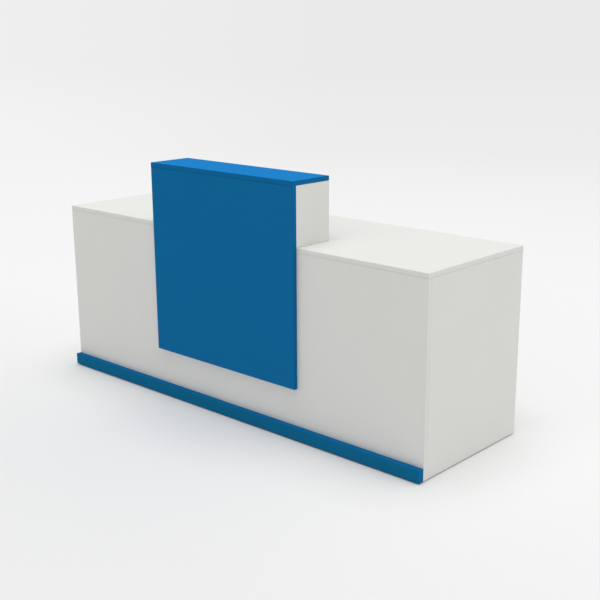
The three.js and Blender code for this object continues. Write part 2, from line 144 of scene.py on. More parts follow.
class DeskColours(PropertyGroup):
    """Colours of the desk's boards and fittings"""

    white_face: colour("White face", "Laminated faces of the carcass boards", "e6e6e2")
    white_band: colour("White band", "Edge band of the carcass boards", "e5e5e1")
    blue_face: colour("Blue face", "Laminated faces of the counter's front", "136da3")
    blue_band: colour("Blue band", "Edge band of the blue boards", "126aa0")
    # painted light: the shelf's laminate is a lighter copy of the blue face, standing in for the stronger
    # light on the shelf's upper face
    shelf_face_with_painted_light: colour("Shelf face", "Laminated upper face of the counter's shelf", "157ec6")
    # painted shade: the plinth's laminate is a darker copy of the blue face, standing in for the shade low by
    # the floor
    plinth_face_with_painted_shade: colour("Plinth face", "Laminated faces of the plinth", "136b96")
    white_glue: colour("White glue line", "Hairline beside the white band", "d0d0cb")
    blue_glue: colour("Blue glue line", "Hairline beside the blue band", "0f5682")
    zinc_cool: colour("Zinc plate, cool", "Cooler clouds of the zinc plating", "b3b9c1")
    zinc_warm: colour("Zinc plate, warm", "Warmer clouds of the zinc plating", "c0bdb4")
    cast_light: colour("Cast zinc, light", "Rubbed metal of the cam locks", "a4a6a8")
    cast_dark: colour("Cast zinc, dark", "Dull skin of the cam locks", "7f8285")
    nylon: colour("Nylon", "Moulded pads of the levelling feet", "1d1e20")
    grommet: colour("Grommet plastic", "Moulded cable grommets", "b9bab8")


class FootSizes(PropertyGroup):
    """Sizes of the levelling feet"""

    pad_radius: length("Pad radius", "Outer radius of the pad", PAD_HIGH.x - STEM_AXIS.x)
    pad_height: length("Pad height", "Floor to the pad's crown", PAD_HIGH.z)
    pad_crown: length("Pad crown", "Radius of the flat ring under the nut", 9 * MM)
    pad_drop: length("Pad drop", "Fall from the crown to the rim", 3 * MM)
    pad_edge: length("Pad edge", "Rounding of the pad's lower rim", 2 * MM)
    pad_shoulder: length("Pad shoulder", "Rounding of the pad's upper rim", 0.8 * MM)
    socket_radius: length("Socket radius", "Socket for the stem's foot", 4.3 * MM)
    socket_floor: length("Socket floor", "Floor to the socket's bottom", 4 * MM)
    stem_radius: length("Stem radius", "Crest radius of the thread", 4 * MM)
    stem_bottom: length("Stem bottom", "Floor to the stem's lower end", STEM_LOW.z)
    stem_top: length("Stem top", "Floor to the stem's upper end", STEM_HIGH.z)
    stem_chamfer: length("Stem chamfer", "Chamfer of the stem's ends", 0.8 * MM)
    thread_pitch: length("Thread pitch", "Rise of the thread in one turn", 1.25 * MM)
    thread_depth: length("Thread depth", "Crest to root of the thread", 0.66 * MM)
    thread_flat: length("Thread flat", "Flat of the thread's crest and root", 0.15 * MM)
    slot_width: length("Slot width", "Screwdriver slot in the stem's end", 1.6 * MM)
    slot_depth: length("Slot depth", "Depth of the screwdriver slot", 2.5 * MM)
    nut_flats: length("Nut", "Across the flats of the stem's nut", 13 * MM)
    nut_bottom: length("Nut bottom", "Floor to the nut's underside", 9.3 * MM)
    nut_height: length("Nut height", "Thickness of the nut", 5 * MM)
    nut_face: length("Nut face", "Radius of the nut's flat ring", 6.2 * MM)
    nut_chamfer: angle("Nut chamfer", "Slope of the nut's corners", 30)
    bracket_back: length("Bracket back", "Stem's axis to the bracket's back", STEM_AXIS.x - BRACKET_LOW.x)
    bracket_bottom: length("Bracket bottom", "Floor to the bracket's underside", BRACKET_LOW.z)
    bracket_top: length("Bracket top", "Floor to the bracket's top", BRACKET_HIGH.z)
    bracket_width: length("Bracket width", "Width of the bracket", BRACKET_HIGH.y - BRACKET_LOW.y)
    bracket_sheet: length("Bracket sheet", "Thickness of the bracket's steel", 3 * MM)
    bracket_corner: length("Bracket corner", "Radius of the upper corners", 6 * MM)
    bracket_bend: length("Bracket bend", "Outer radius of the bend", 4 * MM)
    bracket_arris: length("Bracket arris", "Rounding of the sheared edges", 0.4 * MM)
    bush_radius: length("Bush radius", "Threaded bush on the ledge", 8 * MM)
    bush_height: length("Bush height", "Height of the bush above the ledge", 9 * MM)
    screw_hole: length("Screw hole", "Radius of the bracket's screw holes", 2.4 * MM)
    screw_spacing: length("Screw spacing", "Distance between the screw holes", 22 * MM)
    screw_rise: length("Screw rise", "Bracket's underside to its screw holes", 32 * MM)


class CamSizes(PropertyGroup):
    """Sizes of the cam locks"""

    radius: length("Radius", "Outer radius of the cam", 7.2 * MM)
    face: length("Face", "Bolt's axis to the cam's outer face", 8.7 * MM)
    back: length("Back", "Bolt's axis to the cam's inner end", 4 * MM)
    rim: length("Rim", "Rounding of the outer rim", 0.4 * MM)
    chamber: length("Chamber", "Radius of the hollow for the bolt's head", 3.6 * MM)
    chamber_depth: length("Chamber depth", "Height of the hollow for the bolt's head", 6.6 * MM)
    head_room: length("Head room", "Radius of the hole that lets the bolt's head in", 3.2 * MM)
    neck_room: length("Neck room", "Half width of the slot for the bolt's neck", 2.1 * MM)
    drive_length: length("Drive length", "Length of the cross recess", 9 * MM)
    drive_width: length("Drive width", "Width of the cross recess", 1.6 * MM)
    drive_depth: length("Drive depth", "Depth of the cross recess", 2.5 * MM)
    lead: angle("Lead", "Bolt's axis to the slot's closed end", 40)
    turn: angle("Turn", "Cam's turn from locked to open", 140)
    run_on: angle("Run-on", "How far the slot runs into the entry hole", 4)


class GrommetSizes(PropertyGroup):
    """Sizes of the cable grommets"""

    flange_radius: length("Flange radius", "Outer radius of the flange", (RING_HIGH.x - RING_LOW.x) / 2)
    flange_top: length("Flange top", "Worktop to the flange's upper face", RING_HIGH.z - WORKTOP_TOP)
    flange_gap: length("Flange gap", "Worktop to the flange's underside", 0.3 * MM)
    flange_round: length("Flange rounding", "Rounding of the flange's rim", 1.2 * MM)
    neck_radius: length("Neck radius", "Outer radius of the neck", 29.7 * MM)
    neck_wall: length("Neck wall", "Thickness of the neck", 2.2 * MM)
    neck_depth: length("Neck depth", "Worktop to the neck's lower end", WORKTOP_TOP - RING_LOW.z)
    lip: length("Lip", "Width of the flange outside the cap", 3.5 * MM)
    cap_thickness: length("Cap thickness", "Thickness of the cap", 1.6 * MM)
    cap_skirt: length("Cap skirt", "Depth of the skirt under the cap", 8 * MM)
    cap_wall: length("Cap wall", "Thickness of the skirt", 1.8 * MM)
    clearance: length("Clearance", "Gap between the cap and the ring", 0.3 * MM)
    slot_width: length("Slot width", "Width of the cable slot", 20 * MM)
    slot_end: length("Slot end", "Cap's centre to the slot's inner end", 8 * MM)
    arris: length("Arris", "Rounding of the cap's edges", 0.35 * MM)


class ScrewSizes(PropertyGroup):
    """Sizes and places of the wood screws"""

    head_radius: length("Head radius", "Radius of the pan head", 3.9 * MM)
    head_height: length("Head height", "Height of the pan head", 2.4 * MM)
    head_side: length("Head side", "Height of the pan head's upright side", 0.8 * MM)
    shank_radius: length("Shank radius", "Radius of the shank", 1.75 * MM)
    shank_length: length("Shank length", "Head to the tip", 14 * MM)
    tip_length: length("Tip length", "Tapered end of the shank", 4 * MM)
    recess_length: length("Recess length", "Length of the cross recess", 4.2 * MM)
    recess_width: length("Recess width", "Width of the cross recess", 1.0 * MM)
    recess_depth: length("Recess depth", "Depth of the cross recess", 1.5 * MM)
    plinth_spacing: length("Plinth spacing", "Between the screws that hold the plinth", 360 * MM)
    panel_inset: length("Panel inset", "Blue panel's edges to its screws", 60 * MM)


class StageSettings(PropertyGroup):
    """Floor, light and camera"""

    # painted light and shade: the floor is painted darker before the desk and lighter beside and behind it,
    # standing in for how the light falls on it
    floor_front_painted_shade: colour("Floor, front", "Matt floor before the desk", "eaeaea")
    floor_rear_painted_light: colour("Floor, rear", "Matt floor beside and behind the desk", "f0f0f0")
    # painted light and shade: the backdrop, seen far off, is paler on one side of the studio and darker on
    # the other
    backdrop_pale: colour("Backdrop, pale side", "Ground far off on the studio's paler side", "f3f3f3")
    backdrop_dull: colour("Backdrop, dull side", "Ground far off on the studio's duller side", "ededed")
    floor_radius: length("Floor radius", "Radius of the floor", 40.0)
    fade_start: length("Fade start", "Where the floor starts to turn into the backdrop", 2.5)
    fade_end: length("Fade end", "Where the floor has become the backdrop", 9.0)
    # painted shade: the backdrop dims a little towards its farthest tone
    backdrop_far_dimming_end: length("Haze end", "Where the backdrop has its farthest tone", 30.0)
    backdrop_far_dimming: amount("Haze", "Share of its brightness that the backdrop keeps farthest off", 0.97)
    # where the floor's painted shade gives way to its painted light
    painted_shade_end: length("Front paint", "Where the floor's front tone ends", -1.2)
    painted_light_start: length("Rear paint", "Where the floor's rear tone starts", 0.4)
    sky: amount("Sky", "Strength of the even light from all round", 0.532)
    rear_glow: amount("Rear glow", "Extra strength towards the desk's back and right", 0.26)
    overhead: amount("Overhead light", "Strength of the wide soft light above", 1.51)
    overhead_width: angle("Overhead width", "How wide the light above looks", 52)
    overhead_height: length("Overhead height", "Where the light above hangs", 4.0)
    lens: FloatProperty(name="Lens", description="Focal length", subtype="DISTANCE_CAMERA",
                        unit="CAMERA", default=61.77)
    shift: amount("Shift", "Sideways shift of the picture", -0.0368)
    turn: angle("Turn", "Camera's turn from straight ahead", 41.58)
    tilt: angle("Tilt", "Camera's tilt below the horizon", 15.012)
    viewpoint: FloatVectorProperty(name="Viewpoint", description="Where the camera stands",
                                   subtype="XYZ", unit="LENGTH", default=(2.9384, -3.0064, 1.5546))


# Materials

def add_node(tree, kind, inputs=None, **settings):
    """Adds a node, sets it up, and gives each input a value or a link."""
    node = tree.nodes.new(kind)
    for name, value in settings.items():
        setattr(node, name, value)
    for socket, value in (inputs or {}).items():
        if isinstance(value, bpy.types.NodeSocket):
            tree.links.new(value, node.inputs[socket])
        else:
            node.inputs[socket].default_value = value
    return node


def start_material(name):
    """A material without nodes, its tree, and the place on the piece to draw patterns by."""
    material = bpy.data.materials.new(name)
    material.use_nodes = True
    tree = material.node_tree
    tree.nodes.clear()
    return material, tree, add_node(tree, "ShaderNodeTexCoord").outputs["Object"]


def per_metre(millimetres):
    """A pattern's scale from the real size of one of its marks."""
    return 1 / (millimetres * MM)


def opaque(rgb):
    return (*rgb, 1)


BAND_THICKNESS = 2 * MM
GLUE_LINE = 0.15 * MM
WHITE_GLOSS, BLUE_GLOSS = 0.1, 0.01  # both laminates are far duller than bare plastic


def pressed_melamine(name, board, face, band, glue, gloss):
    """Melamine-faced chipboard, pressed on a pearl plate, with a plastic band glued to its edges.
    It looks even and soft-matt, with fine dimples close by and a hairline where the band starts."""
    low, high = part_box(board)
    centre, half = (low + high) / 2, (high - low) / 2
    thin = min(range(3), key=lambda axis: half[axis])
    across, along = (axis for axis in range(3) if axis != thin)
    material, tree, place = start_material(name)
    offset = add_node(tree, "ShaderNodeVectorMath", {0: place, 1: centre}, operation="SUBTRACT")
    reach = add_node(tree, "ShaderNodeVectorMath", {0: offset.outputs[0]}, operation="ABSOLUTE")
    inset = add_node(tree, "ShaderNodeVectorMath", {0: half, 1: reach.outputs[0]}, operation="SUBTRACT")
    insets = add_node(tree, "ShaderNodeSeparateXYZ", {0: inset.outputs[0]}).outputs
    rim = add_node(tree, "ShaderNodeMath", {0: insets[across], 1: insets[along]},
                   operation="MINIMUM").outputs[0]
    on_band = add_node(tree, "ShaderNodeMath", {0: rim, 1: BAND_THICKNESS}, operation="LESS_THAN")
    on_glue = add_node(tree, "ShaderNodeMath", {0: rim, 1: BAND_THICKNESS, 2: GLUE_LINE},
                       operation="COMPARE")
    sheet = add_node(tree, "ShaderNodeMix", {0: on_band.outputs[0], 6: opaque(face), 7: opaque(band)},
                     data_type="RGBA")
    lined = add_node(tree, "ShaderNodeMix", {0: on_glue.outputs[0], 6: sheet.outputs[2], 7: opaque(glue)},
                     data_type="RGBA")
    # printed colour drifts by about one part in a hundred over a hand's breadth
    drift = add_node(tree, "ShaderNodeTexNoise", {"Vector": place, "Scale": per_metre(180), "Detail": 2})
    level = add_node(tree, "ShaderNodeMapRange",
                     {"Value": drift.outputs[0], "To Min": 0.985, "To Max": 1.015})
    printed = add_node(tree, "ShaderNodeVectorMath", {0: lined.outputs[2], "Scale": level.outputs[0]},
                       operation="SCALE")
    # hands polish the matt face in faint clouds
    polish = add_node(tree, "ShaderNodeTexNoise", {"Vector": place, "Scale": per_metre(60), "Detail": 3})
    matt = add_node(tree, "ShaderNodeMapRange", {"Value": polish.outputs[0], "To Min": 0.62, "To Max": 0.76})
    # real pearl dimples are 0.4 mm wide; drawn at 3 mm, because a pixel covers 3 to 4 mm
    pearl = add_node(tree, "ShaderNodeTexNoise", {"Vector": place, "Scale": per_metre(3), "Detail": 1})
    dimples = add_node(tree, "ShaderNodeBump",
                       {"Strength": 0.12, "Distance": 0.2 * MM, "Height": pearl.outputs[0]})
    shader = add_node(tree, "ShaderNodeBsdfPrincipled", {
        "Base Color": printed.outputs[0], "Roughness": matt.outputs[0], "IOR": 1.45,
        "Specular IOR Level": gloss, "Normal": dimples.outputs[0]})
    add_node(tree, "ShaderNodeOutputMaterial", {"Surface": shader.outputs[0]})
    return material


def barrel_plated_zinc(name):
    """Pressed or turned steel, zinc plated in a tumbling barrel and passivated clear.
    It gives bright grey metal with soft reflections and faint cool and warm clouds."""
    colours = bpy.context.scene.desk_colours
    material, tree, place = start_material(name)
    clouds = add_node(tree, "ShaderNodeTexNoise", {"Vector": place, "Scale": per_metre(9), "Detail": 2})
    plate = add_node(tree, "ShaderNodeMix", {
        0: clouds.outputs[0], 6: opaque(colours.zinc_cool), 7: opaque(colours.zinc_warm)}, data_type="RGBA")
    # crystals of about 0.05 mm; drawn at 0.8 mm so that close views show them
    grain = add_node(tree, "ShaderNodeTexNoise", {"Vector": place, "Scale": per_metre(0.8), "Detail": 2})
    sheen = add_node(tree, "ShaderNodeMapRange", {"Value": grain.outputs[0], "To Min": 0.26, "To Max": 0.44})
    relief = add_node(tree, "ShaderNodeBump",
                      {"Strength": 0.1, "Distance": 0.05 * MM, "Height": grain.outputs[0]})
    shader = add_node(tree, "ShaderNodeBsdfPrincipled", {
        "Base Color": plate.outputs[2], "Metallic": 1, "Roughness": sheen.outputs[0],
        "Normal": relief.outputs[0]})
    add_node(tree, "ShaderNodeOutputMaterial", {"Surface": shader.outputs[0]})
    return material


def die_cast_zinc(name):
    """Zinc alloy as it comes out of the die, dull grey and slightly grainy, rubbed lighter in places."""
    colours = bpy.context.scene.desk_colours
    material, tree, place = start_material(name)
    flow = add_node(tree, "ShaderNodeTexNoise", {"Vector": place, "Scale": per_metre(3), "Detail": 3})
    skin = add_node(tree, "ShaderNodeMix", {
        0: flow.outputs[0], 6: opaque(colours.cast_dark), 7: opaque(colours.cast_light)}, data_type="RGBA")
    # die grain of about 0.1 mm; drawn at 0.6 mm so that close views show it
    grain = add_node(tree, "ShaderNodeTexNoise", {"Vector": place, "Scale": per_metre(0.6), "Detail": 1})
    dull = add_node(tree, "ShaderNodeMapRange", {"Value": flow.outputs[0], "To Min": 0.62, "To Max": 0.42})
    relief = add_node(tree, "ShaderNodeBump",
                      {"Strength": 0.2, "Distance": 0.06 * MM, "Height": grain.outputs[0]})
    shader = add_node(tree, "ShaderNodeBsdfPrincipled", {
        "Base Color": skin.outputs[2], "Metallic": 1, "Roughness": dull.outputs[0],
        "Normal": relief.outputs[0]})
    add_node(tree, "ShaderNodeOutputMaterial", {"Surface": shader.outputs[0]})
    return material


def eroded_moulding(name, rgb, matt, gloss):
    """Plastic moulded in a spark-eroded die: an even colour under a fine, slightly glossy grain,
    whose roughness goes from gloss in the pits to matt between them."""
    material, tree, place = start_material(name)
    drift = add_node(tree, "ShaderNodeTexNoise", {"Vector": place, "Scale": per_metre(14), "Detail": 2})
    level = add_node(tree, "ShaderNodeMapRange", {"Value": drift.outputs[0], "To Min": 0.94, "To Max": 1.06})
    tinted = add_node(tree, "ShaderNodeVectorMath", {0: rgb, "Scale": level.outputs[0]}, operation="SCALE")
    # erosion pits of about 0.15 mm; drawn at 0.9 mm so that close views show them
    pits = add_node(tree, "ShaderNodeTexVoronoi", {"Vector": place, "Scale": per_metre(0.9)})
    sheen = add_node(tree, "ShaderNodeMapRange", {"Value": pits.outputs[0], "To Min": gloss, "To Max": matt})
    relief = add_node(tree, "ShaderNodeBump",
                      {"Strength": 0.25, "Distance": 0.08 * MM, "Height": pits.outputs[0]})
    shader = add_node(tree, "ShaderNodeBsdfPrincipled", {
        "Base Color": tinted.outputs[0], "Roughness": sheen.outputs[0], "IOR": 1.52,
        "Specular IOR Level": 0.4, "Normal": relief.outputs[0]})
    add_node(tree, "ShaderNodeOutputMaterial", {"Surface": shader.outputs[0]})
    return material


def moulded_nylon(name):
    return eroded_moulding(name, bpy.context.scene.desk_colours.nylon, matt=0.68, gloss=0.5)


def moulded_polystyrene(name):
    return eroded_moulding(name, bpy.context.scene.desk_colours.grommet, matt=0.6, gloss=0.42)


FINISHES = {
    "zinc_plated_steel": ("zinc plated steel, barrel plated", barrel_plated_zinc),
    "die_cast_zinc": ("zinc alloy, die cast", die_cast_zinc),
    "black_nylon": ("nylon, moulded in an eroded die", moulded_nylon),
    "grey_plastic": ("polystyrene, moulded in an eroded die", moulded_polystyrene),
}


def finish_of(slot):
    """The material of one of the record's slots, made when it is first asked for."""
    name, make = FINISHES[slot]
    return bpy.data.materials.get(name) or make(name)


# Modelling

def start_modelling():
    if bpy.context.mode != "OBJECT":
        bpy.ops.object.mode_set(mode="OBJECT")
    bpy.ops.object.select_all(action="DESELECT")


def take_up(piece):
    """Makes the piece the only selected object."""
    start_modelling()
    piece.select_set(True)
    bpy.context.view_layer.objects.active = piece


def open_mesh(piece):
    """Takes the piece into edit mode with all of it selected."""
    take_up(piece)
    bpy.ops.object.mode_set(mode="EDIT")
    bpy.ops.mesh.select_all(action="SELECT")


def close_mesh():
    """Welds the seams, turns the faces outwards and leaves edit mode."""
    bpy.ops.mesh.select_all(action="SELECT")
    bpy.ops.mesh.remove_doubles(threshold=WELD)
    bpy.ops.mesh.normals_make_consistent(inside=False)
    bpy.ops.object.mode_set(mode="OBJECT")


def draw_line(points):
    """Draws a line of edges from point to point and stays in edit mode."""
    start_modelling()
    bpy.ops.mesh.primitive_plane_add(size=MM, location=points[0])
    piece = bpy.context.object
    bpy.ops.object.transform_apply()
    bpy.ops.object.mode_set(mode="EDIT")
    bpy.ops.mesh.select_mode(type="VERT")
    bpy.ops.mesh.select_all(action="SELECT")
    bpy.ops.mesh.merge(type="CENTER")
    for here, there in zip(points, points[1:]):
        bpy.ops.mesh.extrude_vertices_move(TRANSFORM_OT_translate={"value": Vector(there) - Vector(here)})
    return piece


def arc(middle, radius, start, end):
    """Points of a rounding in a profile, from one angle to another."""
    angles = (start + (end - start) * step / PROFILE_STEPS for step in range(PROFILE_STEPS + 1))
    return [(middle[0] + radius * math.cos(at), middle[1] + radius * math.sin(at)) for at in angles]


def turned(profile, steps, turn=FULL_TURN, start=0):
    """A shape turned clockwise about Z from radii and heights, from the angle where the turn starts."""
    piece = draw_line([(radius * math.cos(start), radius * math.sin(start), height)
                       for radius, height in profile])
    bpy.ops.mesh.select_all(action="SELECT")
    bpy.ops.mesh.spin(steps=steps, angle=turn, center=(0, 0, 0), axis=UP)
    close_mesh()
    return piece


def block(size, centre):
    """A plain box for cutting with."""
    start_modelling()
    bpy.ops.mesh.primitive_cube_add(size=1, location=centre)
    piece = bpy.context.object
    piece.scale = size
    bpy.ops.object.transform_apply()
    return piece


def rod(radius, centre, depth, axis=UP, sides=SMALL_ROUND):
    """A plain round bar for cutting with."""
    start_modelling()
    bpy.ops.mesh.primitive_cylinder_add(vertices=sides, radius=radius, depth=depth, location=centre,
                                        rotation=axis.to_track_quat("Z", "Y").to_euler())
    piece = bpy.context.object
    bpy.ops.object.transform_apply()
    return piece


def use_modifier(piece, kind, **settings):
    """Adds a modifier to the piece and applies it."""
    take_up(piece)
    bpy.ops.object.modifier_add(type=kind)
    modifier = piece.modifiers[-1]
    for name, value in settings.items():
        setattr(modifier, name, value)
    bpy.ops.object.modifier_apply(modifier=modifier.name)


def combine(piece, operation, *others):
    """Joins other shapes to the piece, cuts them away, or keeps what is in both."""
    for other in others:
        use_modifier(piece, "BOOLEAN", operation=operation, object=other, solver="EXACT")
        bpy.data.objects.remove(other)
        open_mesh(piece)
        bpy.ops.mesh.dissolve_degenerate(threshold=WELD)
        close_mesh()


def melt_flat_faces(piece):
    """Makes one face of the pieces that a turned or cut shape leaves in each flat face."""
    open_mesh(piece)
    bpy.ops.mesh.dissolve_limited(angle_limit=FLAT_ANGLE)
    close_mesh()


def round_arrises(piece, width):
    use_modifier(piece, "BEVEL", width=width, segments=ARRIS_STEPS, limit_method="ANGLE",
                 angle_limit=ARRIS_ANGLE)
    open_mesh(piece)
    close_mesh()


def pick(piece, kind, test):
    """In edit mode, selects the vertices, edges or faces that pass the test at each vertex."""
    bpy.ops.mesh.select_mode(type=kind)
    bpy.ops.mesh.select_all(action="DESELECT")
    mesh = bmesh.from_edit_mesh(piece.data)
    for part in {"VERT": mesh.verts, "EDGE": mesh.edges, "FACE": mesh.faces}[kind]:
        part.select_set(all(test(vertex.co) for vertex in getattr(part, "verts", [part])))
    bmesh.update_edit_mesh(piece.data)


def smooth(piece):
    """Shades round faces smoothly, and keeps the large faces flat up to their small rounded edges."""
    take_up(piece)
    bpy.ops.object.shade_smooth_by_angle(angle=SMOOTH_ANGLE)
    use_modifier(piece, "WEIGHTED_NORMAL", keep_sharp=True)


def dress(piece, slot):
    """Shades the piece and gives it the finish of its slot."""
    smooth(piece)
    piece.data.materials.clear()
    piece.data.materials.append(finish_of(slot))


def copy_to(master, name, frame_at):
    """A copy of the master with its own mesh, set into the given frame."""
    take_up(master)
    bpy.ops.object.duplicate(linked=False)
    piece = bpy.context.object
    piece.name = piece.data.name = name
    piece.matrix_world = frame_at
    bpy.ops.object.transform_apply()
    return piece


def set_in_place(master, slot, places):
    """Copies the master over each CAD node of its kind and takes the master away."""
    dress(master, slot)
    for node, frame_at in places:
        piece = copy_to(master, f"fine_{node}", frame_at)
        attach(piece, NODES[node]["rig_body"])
        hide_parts(node)
    bpy.data.objects.remove(master)


def foot_frame(foot):
    """Stem on Z, floor at zero, and X looking away from the board that carries the foot."""
    low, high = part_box(f"foot_pad_{foot}")
    centre = (low + high) / 2
    plate_low, plate_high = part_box(f"foot_bracket_{foot}")
    looks_right = centre.x - plate_low.x > plate_high.x - centre.x
    turn = Matrix.Rotation(0 if looks_right else math.pi, 4, "Z")
    return Matrix.Translation((centre.x, centre.y, 0)) @ turn


class DESK_OT_boards(Operator):
    """Give every board its laminate and edge band"""

    bl_idname = "desk.boards"
    bl_label = "Boards"

    def execute(self, context):
        colours = context.scene.desk_colours
        for board in WHITE_BOARDS:
            NODES[board].material_slots[0].material = pressed_melamine(
                f"white melamine board, pearl pressed, {board}", board,
                colours.white_face, colours.white_band, colours.white_glue, WHITE_GLOSS)
        # the shelf and the plinth get lighter and darker copies of the blue face: painted light on the shelf,
        # painted shade on the plinth
        blue_faces_with_painted_light_and_shade = (colours.blue_face, colours.shelf_face_with_painted_light, colours.plinth_face_with_painted_shade)
        for board, face in zip(BLUE_BOARDS, blue_faces_with_painted_light_and_shade):
            NODES[board].material_slots[0].material = pressed_melamine(
                f"blue melamine board, pearl pressed, {board}", board,
                face, colours.blue_band, colours.blue_glue, BLUE_GLOSS)
        return {"FINISHED"}


class DESK_OT_cam_bolts(Operator):
    """Give the cam bolts inside the boards their zinc plating"""

    bl_idname = "desk.cam_bolts"
    bl_label = "Cam bolts"

    def execute(self, context):
        for cam in CAMS:
            NODES[f"cam_bolt_{cam}"].material_slots[0].material = finish_of("zinc_plated_steel")
        return {"FINISHED"}


class DESK_OT_cam_locks(Operator):
    """Model the cast cam locks in the uprights"""

    bl_idname = "desk.cam_locks"
    bl_label = "Cam locks"

    def execute(self, context):
        sizes = context.scene.desk_cams
        joints = {joint["child"]: joint for joint in frame["joints"]}
        body = turned([
            (0, -sizes.back), (sizes.radius - sizes.rim, -sizes.back),
            (sizes.radius, sizes.rim - sizes.back), (sizes.radius, sizes.face - sizes.rim),
            (sizes.radius - sizes.rim, sizes.face), (0, sizes.face)], MIDDLE_ROUND)
        outside = sizes.radius + OVERLAP
        track = turned([(0, -sizes.neck_room), (outside, -sizes.neck_room),
                        (outside, sizes.neck_room), (0, sizes.neck_room), (0, -sizes.neck_room)],
                       SMALL_ROUND, sizes.lead + sizes.turn + sizes.run_on, sizes.turn + sizes.run_on)
        open_mesh(track)
        bpy.ops.mesh.select_mode(type="EDGE")
        bpy.ops.mesh.select_all(action="DESELECT")
        bpy.ops.mesh.select_non_manifold()
        bpy.ops.mesh.edge_face_add()
        close_mesh()
        way_in = Vector((math.cos(sizes.turn), math.sin(sizes.turn), 0))
        entry = rod(sizes.head_room, way_in * outside / 2, outside, way_in)
        chamber = rod(sizes.chamber, (0, 0, 0), sizes.chamber_depth)
        recess = [block((sizes.drive_length, sizes.drive_width, 2 * sizes.drive_depth), (0, 0, sizes.face)),
                  block((sizes.drive_width, sizes.drive_length, 2 * sizes.drive_depth), (0, 0, sizes.face))]
        # the track comes first and opens the chamber: a sealed hollow would be turned inside out
        combine(body, "DIFFERENCE", track, chamber, entry, *recess)
        places = []
        for cam in CAMS:
            joint = joints[f"cam_lock_{cam}"]
            outward = Vector(joint["axis"])
            to_bolt = UP if "top" in cam else Vector((0, -1, 0))
            axes = Matrix((to_bolt, outward.cross(to_bolt), outward)).transposed().to_4x4()
            places.append((f"cam_lock_{cam}", Matrix.Translation(joint["pos_m"]) @ axes))
        set_in_place(body, "die_cast_zinc", places)
        return {"FINISHED"}


class DESK_OT_foot_pads(Operator):
    """Model the moulded pads of the levelling feet"""

    bl_idname = "desk.foot_pads"
    bl_label = "Foot pads"

    def execute(self, context):
        sizes = context.scene.desk_feet
        radius, edge, shoulder = sizes.pad_radius, sizes.pad_edge, sizes.pad_shoulder
        slope = math.atan2(sizes.pad_drop, radius - sizes.pad_crown)
        rim = sizes.pad_height - sizes.pad_drop - shoulder * (1 - math.sin(slope)) / math.cos(slope)
        pad = turned([
            (0, 0), *arc((radius - edge, edge), edge, -QUARTER, 0),
            *arc((radius - shoulder, rim), shoulder, 0, QUARTER - slope),
            (sizes.pad_crown, sizes.pad_height), (sizes.socket_radius, sizes.pad_height),
            (sizes.socket_radius, sizes.socket_floor), (0, sizes.socket_floor)], LARGE_ROUND)
        set_in_place(pad, "black_nylon", [(f"foot_pad_{foot}", foot_frame(foot)) for foot in FEET])
        return {"FINISHED"}


class DESK_OT_foot_stems(Operator):
    """Model the threaded stems and their nuts"""

    bl_idname = "desk.foot_stems"
    bl_label = "Foot stems"

    def execute(self, context):
        sizes = context.scene.desk_feet
        crest, root, pitch = sizes.stem_radius, sizes.stem_radius - sizes.thread_depth, sizes.thread_pitch
        nut_top = sizes.nut_bottom + sizes.nut_height
        start = nut_top - SPARE_TURNS * pitch
        turns = math.ceil((sizes.stem_top - start) / pitch + SPARE_TURNS)
        middle = start + pitch / 2
        stem = draw_line([(root, 0, start), (root, 0, start + sizes.thread_flat), (crest, 0, middle),
                          (crest, 0, middle + sizes.thread_flat), (root, 0, start + pitch)])
        bpy.ops.object.mode_set(mode="OBJECT")
        use_modifier(stem, "SCREW", axis="Z", angle=FULL_TURN, screw_offset=pitch, iterations=turns,
                     steps=THREAD_STEPS, render_steps=THREAD_STEPS, use_merge_vertices=False)
        open_mesh(stem)
        bpy.ops.mesh.remove_doubles(threshold=WELD)
        for height, upper in ((nut_top - OVERLAP / 2, False), (sizes.stem_top, True)):
            bpy.ops.mesh.select_all(action="SELECT")
            bpy.ops.mesh.bisect(plane_co=(0, 0, height), plane_no=UP, use_fill=True, threshold=WELD,
                                clear_outer=upper, clear_inner=not upper)
        close_mesh()
        neck = crest - sizes.stem_chamfer
        chamfer = turned([(0, nut_top - OVERLAP), (crest + OVERLAP, nut_top - OVERLAP),
                          (crest + OVERLAP, sizes.stem_top - sizes.stem_chamfer - OVERLAP),
                          (neck - OVERLAP, sizes.stem_top + OVERLAP), (0, sizes.stem_top + OVERLAP)],
                         MIDDLE_ROUND, start=HALF_STEP)
        combine(stem, "INTERSECT", chamfer)
        corner = sizes.nut_flats / math.sqrt(3)
        outside = corner + OVERLAP
        slope = (outside - sizes.nut_face) * math.tan(sizes.nut_chamfer)
        nut = rod(corner, (0, 0, (sizes.nut_bottom + nut_top) / 2), sizes.nut_height + 2 * OVERLAP, sides=6)
        if STEM_HIGH.x - STEM_LOW.x > STEM_HIGH.y - STEM_LOW.y:
            nut.rotation_euler.z = QUARTER
            bpy.ops.object.transform_apply()
        combine(nut, "INTERSECT", turned([
            (0, sizes.nut_bottom), (sizes.nut_face, sizes.nut_bottom), (outside, sizes.nut_bottom + slope),
            (outside, nut_top - slope), (sizes.nut_face, nut_top), (0, nut_top)],
            MIDDLE_ROUND, start=HALF_STEP))
        spigot = turned([
            (0, sizes.stem_bottom), (neck, sizes.stem_bottom),
            (crest, sizes.stem_bottom + sizes.stem_chamfer),
            (crest, sizes.nut_bottom + OVERLAP), (0, sizes.nut_bottom + OVERLAP)], MIDDLE_ROUND)
        combine(stem, "UNION", nut, spigot)
        combine(stem, "DIFFERENCE", block((THROUGH * crest, sizes.slot_width, 2 * sizes.slot_depth),
                                          (0, 0, sizes.stem_top)))
        set_in_place(stem, "zinc_plated_steel", [(f"foot_stem_{foot}", foot_frame(foot)) for foot in FEET])
        return {"FINISHED"}


